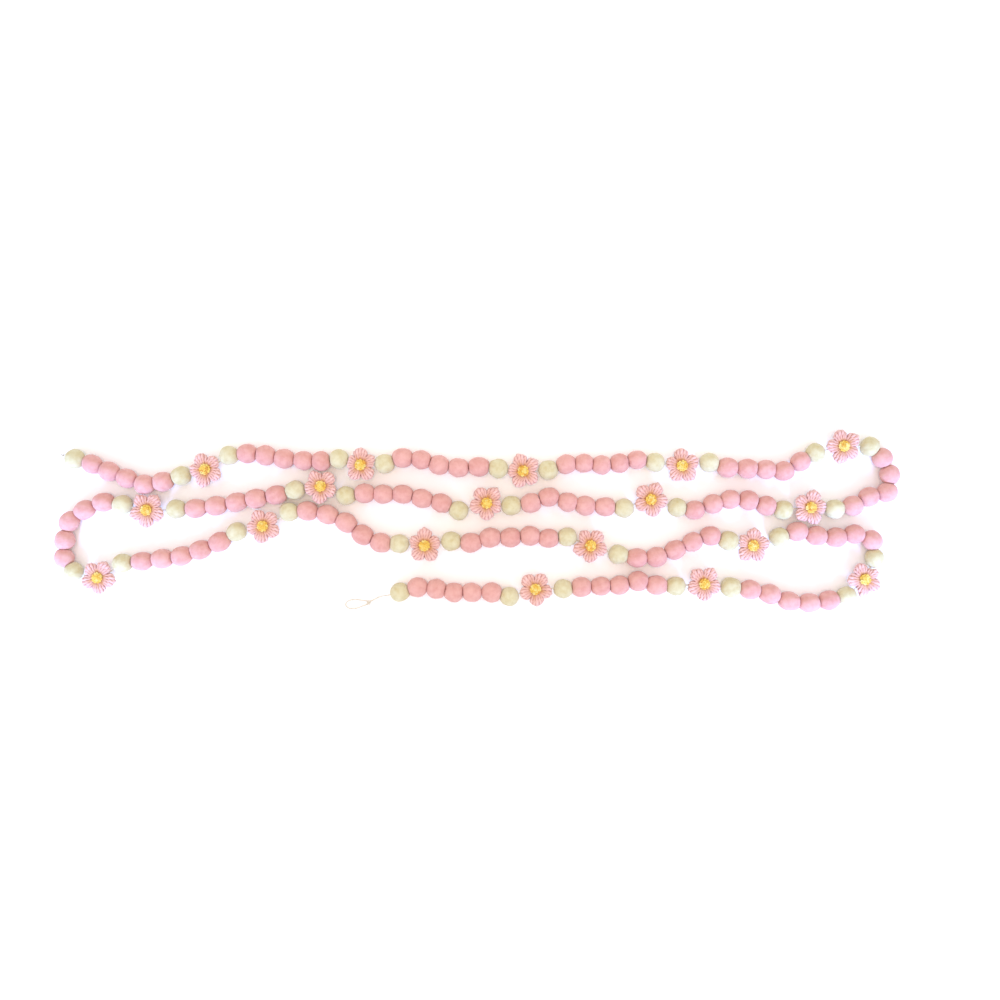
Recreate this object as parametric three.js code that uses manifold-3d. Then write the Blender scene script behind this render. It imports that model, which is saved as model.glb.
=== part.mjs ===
// Felt ball garland with yarn flowers, lying in four passes. Millimetres, +Z up.
// The balls stand on Z = 0 and the origin is under the middle of the garland.
import * as THREE from "three";
import Module from "manifold-3d";

// Felt balls, squeezed together on the string
const BALL_RADIUS = 11;
const BALL_UNEVENNESS = 0.03; // share by which one ball is larger or smaller than another
const CONTACT_SHARE = 0.54; // radius of the face where two balls press, as a share of the ball's
const SIDES = 8;

// Gap between neighbouring pieces
const GAP = 0.3;

// Cotton string, its knots and its loop
const STRING_RADIUS = 0.9;
const KNOT_RADIUS = 2.6;

// Yarn flowers
const PETALS = 5;
const PETAL_REACH = 20.5;
const SHORTEST_REACH = 13;
const PETAL_CLEARANCE = 0.6;
const NOTCH_REACH = 0.72; // notch between two petals, as a share of their reach
const EYE_SIDES = 10;

// Where the garland lies. A run has seven balls, with a cream one at its start and at its end.
// Then comes a flower, turned by some degrees.
const RUNS = [
  { balls: [[-455, 68], [-435, 62], [-416, 54], [-396, 46], [-376, 39], [-355, 42], [-334, 49]],
    flower: [-306, 56], turn: 43 },
  { balls: [[-281, 72], [-260, 74], [-239, 72], [-218, 68], [-196, 66], [-176, 65], [-156, 68]],
    flower: [-131, 61], turn: 19 },
  { balls: [[-105, 62], [-84, 69], [-63, 67], [-43, 61], [-21, 58], [2, 59], [25, 57]],
    flower: [52, 54], turn: 32 },
  { balls: [[80, 55], [101, 62], [121, 63], [141, 61], [161, 63], [181, 67], [202, 64]],
    flower: [231, 60], turn: 22 },
  { balls: [[262, 64], [283, 58], [306, 57], [327, 56], [347, 54], [366, 65], [383, 75]],
    flower: [413, 82], turn: 36 },
  { balls: [[444, 82], [458, 69], [467, 50], [464, 30], [443, 25], [425, 15], [404, 11]],
    flower: [376, 13], turn: 2 },
  { balls: [[347, 10], [327, 15], [307, 21], [286, 22], [267, 17], [246, 10], [226, 13]],
    flower: [196, 22], turn: 64 },
  { balls: [[167, 12], [145, 14], [122, 15], [103, 19], [81, 25], [61, 18], [38, 15]],
    flower: [11, 18], turn: 53 },
  { balls: [[-20, 9], [-40, 18], [-62, 23], [-84, 28], [-106, 28], [-127, 29], [-149, 26]],
    flower: [-176, 37], turn: 46 },
  { balls: [[-205, 33], [-227, 27], [-250, 23], [-272, 19], [-295, 15], [-318, 12], [-341, 11]],
    flower: [-372, 10], turn: 50 },
  { balls: [[-400, 16], [-422, 19], [-444, 10], [-461, -3], [-466, -24], [-467, -44], [-456, -60]],
    flower: [-427, -66], turn: 58 },
  { balls: [[-402, -50], [-379, -48], [-356, -45], [-334, -42], [-313, -35], [-291, -26], [-271, -14]],
    flower: [-241, -8], turn: 45 },
  { balls: [[-213, 8], [-192, 9], [-169, 5], [-148, -4], [-129, -18], [-109, -27], [-87, -28]],
    flower: [-59, -30], turn: 17 },
  { balls: [[-30, -25], [-7, -27], [15, -21], [38, -21], [60, -19], [81, -22], [103, -20]],
    flower: [128, -30], turn: 53 },
  { balls: [[159, -40], [181, -44], [203, -43], [224, -35], [244, -26], [264, -19], [285, -25]],
    flower: [311, -30], turn: 12 },
  { balls: [[341, -21], [362, -14], [384, -19], [406, -21], [427, -17], [447, -24], [450, -45]],
    flower: [437, -68], turn: 40 },
  { balls: [[419, -87], [398, -92], [376, -95], [353, -93], [331, -85], [309, -80], [286, -77]],
    flower: [256, -73], turn: 56 },
  { balls: [[226, -76], [203, -75], [182, -70], [161, -75], [140, -76], [118, -77], [97, -79]],
    flower: [66, -79], turn: 60 },
  { balls: [[37, -88], [17, -83], [-6, -83], [-26, -83], [-46, -79], [-67, -77], [-88, -83]] },
];

// The string's tail from the last ball down to the surface, then its tied loop
const TAIL = [
  [-102, -86.6, 10], [-105.5, -87.2, 7.2], [-108.5, -88, 3.8], [-112, -89.4, 1.5], [-116, -91.4, 0.95],
  [-122, -94, 0.95], [-129, -93.6, 0.95], [-138, -92.4, 0.95], [-146, -93.4, 0.95], [-150.4, -97.4, 0.95],
  [-147.6, -101.8, 0.95], [-139, -102.4, 0.95], [-131, -99.8, 0.95], [-124.6, -97.6, 0.95],
];
const TAIL_KNOT = [-123.4, -95.6, 2.2];

// Girth along a ball, from one pressed face to the other, as shares of its half length and radius
const PRESSED_BALL = [
  { along: -1, girth: CONTACT_SHARE },
  { along: -0.66, girth: 0.85 },
  { along: -0.24, girth: 1 },
  { along: 0.24, girth: 1 },
  { along: 0.66, girth: 0.85 },
  { along: 1, girth: CONTACT_SHARE },
];
// The same where a ball is free on one side and the string leaves it
const FREE_SIDE = [
  { along: 0.24, girth: 1 },
  { along: 0.64, girth: 0.79 },
  { along: 0.93, girth: 0.42 },
];

// One petal, from its notch to the next: three strands stand proud of the valleys between them
const PETAL_COLUMNS = [
  { angle: -36, reach: NOTCH_REACH, rise: -0.8 },
  { angle: -27, reach: 0.9, rise: 0.4 },
  { angle: -13, reach: 0.97, rise: -0.4 },
  { angle: 0, reach: 1, rise: 0.5 },
  { angle: 13, reach: 0.97, rise: -0.4 },
  { angle: 27, reach: 0.9, rise: 0.4 },
];
// Rings of the petals from the flat back over the rim to the crown, then of the raised eye
const PETAL_RINGS = [
  { share: 0.6, height: 0, ribbed: 0 },
  { share: 1, height: 2.6, ribbed: 0.6 },
  { share: 0.64, height: 5.2, ribbed: 1 },
];
const EYE_RINGS = [
  { radius: 6.2, height: 3.8 },
  { radius: 4.6, height: 7 },
];
const EYE_TOP = 7.8;

const module = await Module();
module.setup();

// A repeatable number between -1 and 1 for each ball
function scatter(index) {
  const value = Math.sin((index + 1) * 12.9898) * 43758.5453;
  return 2 * (value - Math.floor(value)) - 1;
}

// The line of the string in plan, through the balls and under the flowers
const BALLS_PER_RUN = 7;
const STEPS_PER_POINT = 24;
const routePoints = RUNS.flatMap((run) => [...run.balls, ...(run.flower ? [run.flower] : [])])
  .map(([x, y]) => new THREE.Vector3(x, y, 0));
const route = new THREE.CatmullRomCurve3(routePoints, false, "centripetal");
route.arcLengthDivisions = STEPS_PER_POINT * (routePoints.length - 1);
const routeLengths = route.getLengths();
const routeLength = route.getLength();
const stationOfPoint = (index) => routeLengths[index * STEPS_PER_POINT];

// Past its two ends the route goes straight on
function pointAt(station) {
  const share = THREE.MathUtils.clamp(station / routeLength, 0, 1);
  const onward = station - share * routeLength;
  return route.getPointAt(share).addScaledVector(route.getTangentAt(share), onward);
}

// The direction is taken over a stretch of the string, so that a ball doesn't fold at a sharp bend
const STRETCH = 8;
function placeAt(station) {
  const tangent = pointAt(station + STRETCH).sub(pointAt(station - STRETCH)).normalize();
  return { point: pointAt(station), tangent };
}

// The seven balls of every run. A ball reaches halfway to its neighbours on the string.
const balls = RUNS.map((run, runIndex) => run.balls.map((_, place) => {
  const index = runIndex * (BALLS_PER_RUN + 1) + place;
  const station = stationOfPoint(index);
  const toPrevious = (station - stationOfPoint(Math.max(index - 1, 0))) / 2;
  const toNext = (stationOfPoint(Math.min(index + 1, routePoints.length - 1)) - station) / 2;
  return {
    station,
    before: place === 0 ? toNext : toPrevious,
    after: place === BALLS_PER_RUN - 1 ? toPrevious : toNext,
    radius: BALL_RADIUS * (1 + BALL_UNEVENNESS * scatter(runIndex * BALLS_PER_RUN + place)),
  };
}));

// A closed skin over rings of points, with flat faces at both ends
function skin(rings) {
  const positions = rings.flat().flatMap((point) => point.toArray());
  const count = rings[0].length;
  const faces = [];
  for (let ring = 0; ring + 1 < rings.length; ring += 1) {
    for (let side = 0; side < count; side += 1) {
      const a = ring * count + side;
      const b = ring * count + (side + 1) % count;
      faces.push(a, b, b + count, a, b + count, a + count);
    }
  }
  const end = (rings.length - 1) * count;
  for (let side = 1; side + 1 < count; side += 1) {
    faces.push(0, side + 1, side);
    faces.push(end, end + side, end + side + 1);
  }
  const geometry = new THREE.BufferGeometry();
  geometry.setAttribute("position", new THREE.Float32BufferAttribute(positions, 3));
  geometry.setIndex(faces);
  geometry.computeVertexNormals();
  return geometry;
}

// An upright ring round the string, flat underneath
function ringAt({ station, radius, height }) {
  const { point, tangent } = placeAt(station);
  const side = new THREE.Vector3(-tangent.y, tangent.x, 0);
  const corner = radius / Math.cos(Math.PI / SIDES);
  return Array.from({ length: SIDES }, (_, index) => {
    const angle = ((index + 0.5) / SIDES) * 2 * Math.PI;
    const spot = point.clone().addScaledVector(side, corner * Math.cos(angle));
    spot.z = height + corner * Math.sin(angle);
    return spot;
  });
}

const along = (rings) => skin(rings.map(ringAt));

function ballRing(ball, row, trim = 0) {
  const half = row.along < 0 ? ball.before : ball.after;
  const shift = row.along * half - Math.sign(row.along) * trim;
  return { station: ball.station + shift, radius: row.girth * ball.radius, height: ball.radius };
}

// Five pink balls, each pressed into the next
function pinkRun(run) {
  const pink = run.slice(1, 6);
  const rings = [ballRing(pink[0], PRESSED_BALL[0], GAP / 2)];
  pink.forEach((ball, index) => {
    PRESSED_BALL.slice(1, 5).forEach((row) => rings.push(ballRing(ball, row)));
    const contact = ballRing(ball, PRESSED_BALL[5], index === 4 ? GAP / 2 : 0);
    const next = pink[index + 1] ?? ball;
    contact.height = (ball.radius + next.radius) / 2;
    rings.push(contact);
  });
  return along(rings);
}

// One cream ball from its pressed face to its free side
function creamRings(ball, freeDirection) {
  const pressedFace = ballRing(ball, PRESSED_BALL[0], GAP / 2);
  const rest = [...PRESSED_BALL.slice(1, 3), ...FREE_SIDE].map((row) => ballRing(ball, row));
  return [pressedFace, ...rest].map((ring) => {
    const station = ball.station + freeDirection * (ring.station - ball.station);
    return { ...ring, station };
  });
}

const stringRing = (station, height) => ({ station, radius: STRING_RADIUS, height });

// Two cream balls and the string between them, behind the flower
function creamPair(before, after) {
  const left = before.station + before.after;
  const right = after.station - after.before;
  const middle = (before.radius + after.radius) / 2;
  return along([
    ...creamRings(before, 1),
    stringRing(left, before.radius),
    stringRing((left + right) / 2, middle),
    stringRing(right, after.radius),
    ...creamRings(after, -1).reverse(),
  ]);
}

// The cream ball at an end of the garland
function creamEnd(ball, freeDirection) {
  const station = ball.station + freeDirection * ball.before;
  const cap = { station, radius: STRING_RADIUS * 2, height: ball.radius };
  const rings = [...creamRings(ball, freeDirection), cap];
  return along(freeDirection > 0 ? rings : rings.reverse());
}

// Plan centres of all the balls, for the petals that press against them
const ballPlaces = balls.flat().map((ball) => ({ ball, point: placeAt(ball.station).point }));

// How far a flower's rim reaches in one direction, short of the balls
function clearReach(centre, angle, wanted) {
  let reach = wanted;
  const touches = () => ballPlaces.some(({ ball, point }) => {
    const dx = centre.x + reach * Math.cos(angle) - point.x;
    const dy = centre.y + reach * Math.sin(angle) - point.y;
    return Math.hypot(dx, dy) < ball.radius + PETAL_CLEARANCE;
  });
  while (touches() && reach > SHORTEST_REACH) {
    reach -= 0.25;
  }
  return reach;
}

// Reach of each column of a petal. A petal that is cut short at a ball is also narrower.
function petalReaches(centre, direction) {
  const middle = clearReach(centre, direction, PETAL_REACH);
  const fullness = (middle + PETAL_REACH) / 2;
  return PETAL_COLUMNS.map((column) => {
    const angle = direction + THREE.MathUtils.degToRad(column.angle);
    return column.angle === 0 ? middle : clearReach(centre, angle, column.reach * fullness);
  });
}

// A flower worked in one piece: ribbed petals round a raised eye, flat at the back
function flower(reaches) {
  const points = [];
  const faces = [];
  const around = PETALS * PETAL_COLUMNS.length;
  const add = (radius, angle, z) => points.push(radius * Math.cos(angle), radius * Math.sin(angle), z);
  for (const ring of PETAL_RINGS) {
    for (let petal = 0; petal < PETALS; petal += 1) {
      PETAL_COLUMNS.forEach((column, index) => {
        const angle = THREE.MathUtils.degToRad(petal * (360 / PETALS) + column.angle);
        add(ring.share * reaches[petal][index], angle, ring.height + ring.ribbed * column.rise);
      });
    }
  }
  const eyeStart = PETAL_RINGS.length * around;
  for (const ring of EYE_RINGS) {
    for (let side = 0; side < EYE_SIDES; side += 1) {
      add(ring.radius, ((side - 1) / EYE_SIDES) * 2 * Math.PI, ring.height);
    }
  }
  const back = points.length / 3;
  add(0, 0, 0);
  const top = points.length / 3;
  add(0, 0, EYE_TOP);

  const band = (lower, upper, count) => {
    for (let side = 0; side < count; side += 1) {
      const next = (side + 1) % count;
      faces.push(lower + side, lower + next, upper + next, lower + side, upper + next, upper + side);
    }
  };
  for (let side = 0; side < around; side += 1) {
    faces.push(back, (side + 1) % around, side);
  }
  band(0, around, around);
  band(around, 2 * around, around);
  // three columns of a petal meet each side of the eye
  const perSide = around / EYE_SIDES;
  const crown = 2 * around;
  for (let side = 0; side < EYE_SIDES; side += 1) {
    const eye = eyeStart + side;
    const nextEye = eyeStart + ((side + 1) % EYE_SIDES);
    for (let step = 0; step < perSide; step += 1) {
      const a = crown + side * perSide + step;
      const b = crown + ((side * perSide + step + 1) % around);
      faces.push(a, b, step === perSide - 1 ? nextEye : eye);
    }
    faces.push(crown + side * perSide + perSide - 1, nextEye, eye);
  }
  band(eyeStart, eyeStart + EYE_SIDES, EYE_SIDES);
  for (let side = 0; side < EYE_SIDES; side += 1) {
    const upper = eyeStart + EYE_SIDES;
    faces.push(upper + side, upper + ((side + 1) % EYE_SIDES), top);
  }
  const geometry = new THREE.BufferGeometry();
  geometry.setAttribute("position", new THREE.Float32BufferAttribute(points, 3));
  geometry.setIndex(faces);
  geometry.computeVertexNormals();
  return geometry;
}

// Manifold solid of a closed three.js geometry, and back
function toSolid(geometry) {
  const position = geometry.getAttribute("position");
  const corners = geometry.getIndex()?.array ?? Array.from({ length: position.count }, (_, index) => index);
  const mesh = new module.Mesh({
    numProp: 3,
    vertProperties: Float32Array.from(position.array),
    triVerts: Uint32Array.from(corners),
  });
  mesh.merge();
  return module.Manifold.ofMesh(mesh);
}

function fromSolid(solid) {
  const mesh = solid.getMesh();
  const geometry = new THREE.BufferGeometry();
  geometry.setAttribute("position", new THREE.Float32BufferAttribute(mesh.vertProperties, 3));
  geometry.setIndex(Array.from(mesh.triVerts));
  geometry.computeVertexNormals();
  return geometry;
}

// A small knot, a little longer than it is thick
function knot(radius) {
  const geometry = new THREE.SphereGeometry(radius, 8, 5);
  geometry.scale(1.15, 0.95, 0.84);
  return geometry;
}

const materials = {
  pink: new THREE.MeshStandardMaterial({ color: "#f3aea8", roughness: 1 }),
  cream: new THREE.MeshStandardMaterial({ color: "#efe0b8", roughness: 1 }),
  petal: new THREE.MeshStandardMaterial({ color: "#f2bab4", roughness: 1 }),
  string: new THREE.MeshStandardMaterial({ color: "#efe9dc", roughness: 1 }),
};

const garland = new THREE.Group();
garland.name = "garland";
const number = (index) => String(index + 1).padStart(2, "0");

function place(name, geometry, material) {
  const mesh = new THREE.Mesh(geometry, material);
  mesh.name = name;
  garland.add(mesh);
  return mesh;
}

balls.forEach((run, index) => {
  place(`pink_run_${number(index)}`, pinkRun(run), materials.pink);
});
for (let index = 0; index + 1 < balls.length; index += 1) {
  place(`cream_pair_${number(index)}`, creamPair(balls[index][6], balls[index + 1][0]), materials.cream);
}
const firstBall = balls[0][0];
const lastBall = balls[balls.length - 1][6];
place("cream_start", creamEnd(firstBall, -1), materials.cream);
place("cream_end", creamEnd(lastBall, 1), materials.cream);

RUNS.filter((run) => run.flower).forEach((run, index) => {
  const centre = new THREE.Vector3(...run.flower, 0);
  const turn = THREE.MathUtils.degToRad(run.turn);
  const reaches = Array.from({ length: PETALS }, (_, petal) => (
    petalReaches(centre, turn + (petal * 2 * Math.PI) / PETALS)
  ));
  const mesh = place(`flower_${number(index)}`, flower(reaches), materials.petal);
  const stringHeight = Math.max(balls[index][6].radius, balls[index + 1][0].radius);
  mesh.position.set(centre.x, centre.y, stringHeight + STRING_RADIUS + GAP);
  mesh.rotation.z = turn;
});

// Knot at the start of the string, against the first ball
const startKnot = place("string_knot", knot(KNOT_RADIUS), materials.string);
const startPlace = placeAt(firstBall.station - firstBall.before - GAP - KNOT_RADIUS * 1.15);
startKnot.position.set(startPlace.point.x, startPlace.point.y, firstBall.radius);
startKnot.rotation.z = Math.atan2(startPlace.tangent.y, startPlace.tangent.x);

// Tail of the string with its loop and the knot that closes it
const section = new THREE.Shape(Array.from({ length: SIDES }, (_, index) => {
  const angle = ((index + 0.5) / SIDES) * 2 * Math.PI;
  return new THREE.Vector2(STRING_RADIUS * Math.cos(angle), STRING_RADIUS * Math.sin(angle));
}));
const tailStart = pointAt(lastBall.station + lastBall.after + GAP).setZ(lastBall.radius);
const tailPoints = TAIL.map((point) => new THREE.Vector3(...point));
const tailPath = new THREE.CatmullRomCurve3([tailStart, ...tailPoints]);
const tailSweep = { extrudePath: tailPath, steps: 34, bevelEnabled: false };
const tailTube = new THREE.ExtrudeGeometry(section, tailSweep);
const tailKnot = knot(KNOT_RADIUS).translate(...TAIL_KNOT);
const tail = toSolid(tailTube).add(toSolid(tailKnot));
place("string_tail", fromSolid(tail), materials.string);

// The origin goes under the middle of the garland
const box = new THREE.Box3().setFromObject(garland);
const middle = box.getCenter(new THREE.Vector3());
garland.position.set(-middle.x, -middle.y, -box.min.z);

export default garland;
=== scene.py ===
import math

import bpy
import numpy as np
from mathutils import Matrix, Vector


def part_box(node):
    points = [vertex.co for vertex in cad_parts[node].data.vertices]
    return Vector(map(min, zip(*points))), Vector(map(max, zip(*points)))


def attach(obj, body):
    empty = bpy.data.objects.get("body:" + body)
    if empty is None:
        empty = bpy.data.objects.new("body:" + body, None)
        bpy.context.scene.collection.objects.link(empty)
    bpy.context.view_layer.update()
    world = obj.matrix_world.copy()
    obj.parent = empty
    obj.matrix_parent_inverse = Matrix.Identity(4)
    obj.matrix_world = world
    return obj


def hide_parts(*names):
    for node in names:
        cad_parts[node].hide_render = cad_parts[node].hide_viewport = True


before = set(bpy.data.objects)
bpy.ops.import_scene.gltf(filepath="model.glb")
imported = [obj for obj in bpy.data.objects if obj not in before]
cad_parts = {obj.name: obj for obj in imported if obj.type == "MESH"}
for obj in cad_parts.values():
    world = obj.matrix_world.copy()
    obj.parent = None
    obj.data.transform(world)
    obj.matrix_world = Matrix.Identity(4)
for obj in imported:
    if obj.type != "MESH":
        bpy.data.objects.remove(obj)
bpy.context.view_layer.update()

# The garland, in metres
RUNS = 19
BALLS_PER_RUN = 7
FLOWERS = 18
RNG = np.random.default_rng(7)

# Felt balls
BALL_FACETS = 12  # facets along one edge of the cube that a ball's skin is blown up from
PRESSED_BULGE = 1.16  # half length of a pressed ball, as a share of the way to its contacts
FREE_LENGTH = 0.96  # half length of a free end, as a share of the ball's radius
EDGE_CRISPNESS = 24  # how sharp the edge is between a ball's side and its flat face
FOOT_SINK = 0.00035  # how far a ball is pressed flat on the surface
FOOT_HEIGHT = 0.0001  # points of a node below this are on the spots it stands on
FOOT_SPREAD = 0.012  # such points closer together than this are of one ball
CROWN_SPREAD = 0.006  # a ball's highest point is this near above its foot
FELTING = {
    "Lump size": 0.009,
    "Lump height": 0.0016,
    "Crease size": 0.008,
    "Crease depth": 0.0002,
    "Fibre density": 55000.0,
    "Fibre length": 0.0018,
    "Fibre radius": 0.00006,
}

# Yarn flowers
PETALS = 5
STRANDS_PER_PETAL = 5
STRAND_ANGLE_AT_EYE = math.radians(14.8)  # between two strands of a petal
STRAND_ANGLE_AT_RIM = math.radians(12.2)
STRAND_FULLNESS = 0.66  # yarn radius, as a share of the distance between two strands
STRAND_SWAY = 0.06  # as a share of the angle between two strands
STRAND_JITTER = 0.0002
YARN_RADIUS = 0.0015
YARN_STEP = 0.0012
PETAL_SWING = 0.03  # radians that a petal is turned out of its even place
PETAL_SHORTEST = 0.94  # as a share of a full petal
PETAL_POINT = 0.07  # how much shorter a petal's outermost strands are
PETAL_PRESS = 0.25  # share that a petal wins back where the ball beside it cuts it short
PETAL_DOME = 0.0008  # how much lower a petal's outermost strands lie
RIM_INSET = 0.0016  # from the rim to the centre line of a strand that loops over it
RIM_ALONG = 0.6  # place in the run of the yarn's colours, as are the others named so
SAME_DIRECTION = 0.05  # radians
EYE_EDGE = 0.0046
EYE_REACH = 0.0080  # no part of an eye is farther out
EYE_RINGS = (
    # knots, ring radius, height above the flower's back
    (1, 0.0, 0.0068),
    (6, 0.0025, 0.0063),
    (11, 0.0047, 0.0052),
)
EYE_COIL_SWEEP = 8 * math.pi
EYE_COIL_POINTS = 90
EYE_COIL_START = 0.0003
EYE_COIL_HEIGHT = 0.0045
# the coil under the knots is darker orange: painted shade in the gaps between the knots
EYE_COIL_SHADE_ALONG = 0.2
EYE_KNOT_SWEEP = 2.6 * math.pi
EYE_KNOT_POINTS = 22
EYE_KNOT_WIDTH = (0.0009, 0.0011)
EYE_KNOT_RISE = 0.0006  # half of a knot's height
EYE_KNOT_JITTER = 0.0003
EYE_KNOT_SWING = 0.2  # as a share of the way to the next knot
EYE_KNOT_ALONG = (0.1, 0.7)

# One strand of a petal: share of the way from the eye to the rim, and height above the flower's back
STRAND = np.array([
    (0.00, 0.0032),
    (0.20, 0.0040),
    (0.48, 0.0042),
    (0.78, 0.0037),
    (0.96, 0.0030),
    (1.00, 0.0023),
    (0.94, 0.0017),
    (0.60, 0.0016),
])

# The strand along a petal's rim: angle from the petal's middle line, share of the rim's reach, height
RIM_STRAND = np.array([
    (-35.0, 0.72, 0.0012),
    (-33.0, 0.86, 0.0018),
    (-27.0, 0.92, 0.0021),
    (-16.0, 0.96, 0.0023),
    (0.0, 0.99, 0.0024),
    (16.0, 0.96, 0.0023),
    (27.0, 0.92, 0.0021),
    (33.0, 0.86, 0.0018),
    (35.0, 0.72, 0.0012),
])
RIM_GIRTH = 0.6

# Cotton string and its tail, from the last ball down to the surface and round the tied loop
STRING_RADIUS = 0.0009
STRING_STEP = 0.0008
STRETCH_STEP = 0.002
STRING_ALONG = 0.5
TAIL_INSET = 0.0006  # how deep in the last ball the tail starts
TAIL = np.array([
    (-0.10195, -0.08862, 0.0100), (-0.10545, -0.08922, 0.0072), (-0.10845, -0.09002, 0.0038),
    (-0.11195, -0.09142, 0.0015), (-0.11595, -0.09342, 0.00095), (-0.12195, -0.09602, 0.00095),
    (-0.12895, -0.09562, 0.00095), (-0.13795, -0.09442, 0.00095), (-0.14595, -0.09542, 0.00095),
    (-0.15035, -0.09942, 0.00095), (-0.14755, -0.10382, 0.00095), (-0.13895, -0.10442, 0.00095),
    (-0.13095, -0.10182, 0.00095), (-0.12455, -0.09962, 0.00095),
])
TAIL_KNOT = (-0.1234, -0.0976, 0.0024)
TAIL_KNOT_TURN = 0.4
START_KNOT_TURN = 2.0
TIED_SIZE = 0.0021
TIED_POINTS = 40
TIED_DEPTH = 0.45  # as a share of the knot's size
TIED_GIRTH = 0.85  # the string is pulled tight in a knot

# How each yarn is plied
STRING_TWIST = {
    "Step": STRING_STEP,
    "Ply radius": STRING_RADIUS * 0.55,
    "Ply offset": STRING_RADIUS * 0.45,
    "Lay length": 0.0045,
    "Sides": 6,
    "Flatness": 1.0,
}
PETAL_TWIST = {
    "Step": YARN_STEP,
    "Ply radius": YARN_RADIUS * 0.80,
    "Ply offset": YARN_RADIUS * 0.26,
    "Lay length": 0.009,
    "Sides": 8,
    "Flatness": 0.65,
}
EYE_TWIST = {
    "Step": 0.0005,
    "Ply radius": 0.00058,
    "Ply offset": 0.00036,
    "Lay length": 0.004,
    "Sides": 5,
    "Flatness": 1.0,
}

# The view: straight down, a square 1.129 m wide just above the balls' middles
VIEW_CENTRE = (0.0260, 0.0194, 0.012)
VIEW_WIDTH = 1.1294
LENS_MM = 35.0
SENSOR_MM = 36.0

# Floor and light
FLOOR_HALF = 4.0
SKY_COLOUR = "#f9faff"
SKY_STRENGTH = 1.16
LIGHTS = (
    # name, place, aim, size, power, spread in degrees, colour
    ("overhead", (0.0, 0.0, 1.9), (0.0, 0.0, 0.0), 0.6, 0.66, 44, "#ffd9b0"),
    ("left_window", (-0.66, -0.75, 0.52), (-0.52, 0.05, 0.0), 0.35, 2.0, 54, "#8fb4ff"),
    ("right_window", (0.64, -0.75, 0.52), (0.48, 0.05, 0.0), 0.35, 2.1, 56, "#8fb4ff"),
)


def srgb(code):
    """Linear colour of an sRGB hex code."""
    values = [int(code[i:i + 2], 16) / 255 for i in (1, 3, 5)]
    return (*[v / 12.92 if v <= 0.04045 else ((v + 0.055) / 1.055) ** 2.4 for v in values], 1.0)


def add(tree, kind, sockets=None, **settings):
    """Adds a node with its settings. A socket's value is a number, a colour or another node's output."""
    node = tree.nodes.new(kind)
    for key, value in settings.items():
        setattr(node, key, value)
    for key, value in (sockets or {}).items():
        if isinstance(value, bpy.types.NodeSocket):
            tree.links.new(value, node.inputs[key])
        else:
            node.inputs[key].default_value = value
    return node


def new_material(name):
    """A material with its tree and its surface shader."""
    material = bpy.data.materials.new(name)
    material.use_nodes = True
    tree = material.node_tree
    shader = tree.nodes["Principled BSDF"]
    return material, tree, shader


def felted_wool(name, light, deep):
    """Felted wool: matted fibres give a cloudy tone, no gloss and a faint bloom at the edges."""
    material, tree, shader = new_material(name)
    place = add(tree, "ShaderNodeTexCoord").outputs["Object"]
    # clouds about 6 mm across, and matting drawn at 0.9 mm so that it shows
    clouds = add(tree, "ShaderNodeTexNoise", {"Vector": place, "Scale": 1 / 0.006, "Detail": 3.0})
    matting = add(tree, "ShaderNodeTexNoise", {
        "Vector": place, "Scale": 1 / 0.0009, "Detail": 2.0, "Distortion": 1.5})
    # single fibres wander over the skin, drawn 1.6 mm apart so that they show
    wander = add(tree, "ShaderNodeTexNoise", {
        "Vector": place, "Scale": 1 / 0.0016, "Detail": 1.0, "Distortion": 2.5})
    middle = add(tree, "ShaderNodeMath", {0: wander.outputs[0], 1: 0.5}, operation="SUBTRACT")
    away = add(tree, "ShaderNodeMath", {0: middle.outputs[0]}, operation="ABSOLUTE")
    fibres = add(tree, "ShaderNodeMapRange", {
        "Value": away.outputs[0], "From Min": 0.0, "From Max": 0.04, "To Min": 1.0, "To Max": 0.0},
        interpolation_type="SMOOTHSTEP")
    tone = add(tree, "ShaderNodeAttribute", attribute_name="tone")
    cloudy = add(tree, "ShaderNodeMapRange", {
        "Value": clouds.outputs[0], "From Min": 0.35, "From Max": 0.68, "To Min": 0.0, "To Max": 0.7})
    matted = add(tree, "ShaderNodeMath", {
        0: matting.outputs[0], 1: 0.45, 2: cloudy.outputs[0]}, operation="MULTIPLY_ADD")
    toned = add(tree, "ShaderNodeMath", {
        0: tone.outputs["Fac"], 1: 0.18, 2: matted.outputs[0]}, operation="MULTIPLY_ADD")
    streaked = add(tree, "ShaderNodeMath", {
        0: fibres.outputs[0], 1: -0.5, 2: toned.outputs[0]}, operation="MULTIPLY_ADD")
    colour = add(tree, "ShaderNodeMix", {
        "Factor": streaked.outputs[0], 6: srgb(light), 7: srgb(deep)}, data_type="RGBA")
    raised = add(tree, "ShaderNodeMath", {
        0: fibres.outputs[0], 1: 0.25, 2: matting.outputs[0]}, operation="MULTIPLY_ADD")
    bump = add(tree, "ShaderNodeBump", {"Height": raised.outputs[0], "Strength": 0.6, "Distance": 0.0004})
    tree.links.new(colour.outputs[2], shader.inputs["Base Color"])
    tree.links.new(bump.outputs["Normal"], shader.inputs["Normal"])
    shader.inputs["Roughness"].default_value = 0.95
    shader.inputs["Specular IOR Level"].default_value = 0.1
    shader.inputs["Sheen Weight"].default_value = 0.15
    shader.inputs["Sheen Roughness"].default_value = 0.6
    return material


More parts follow.
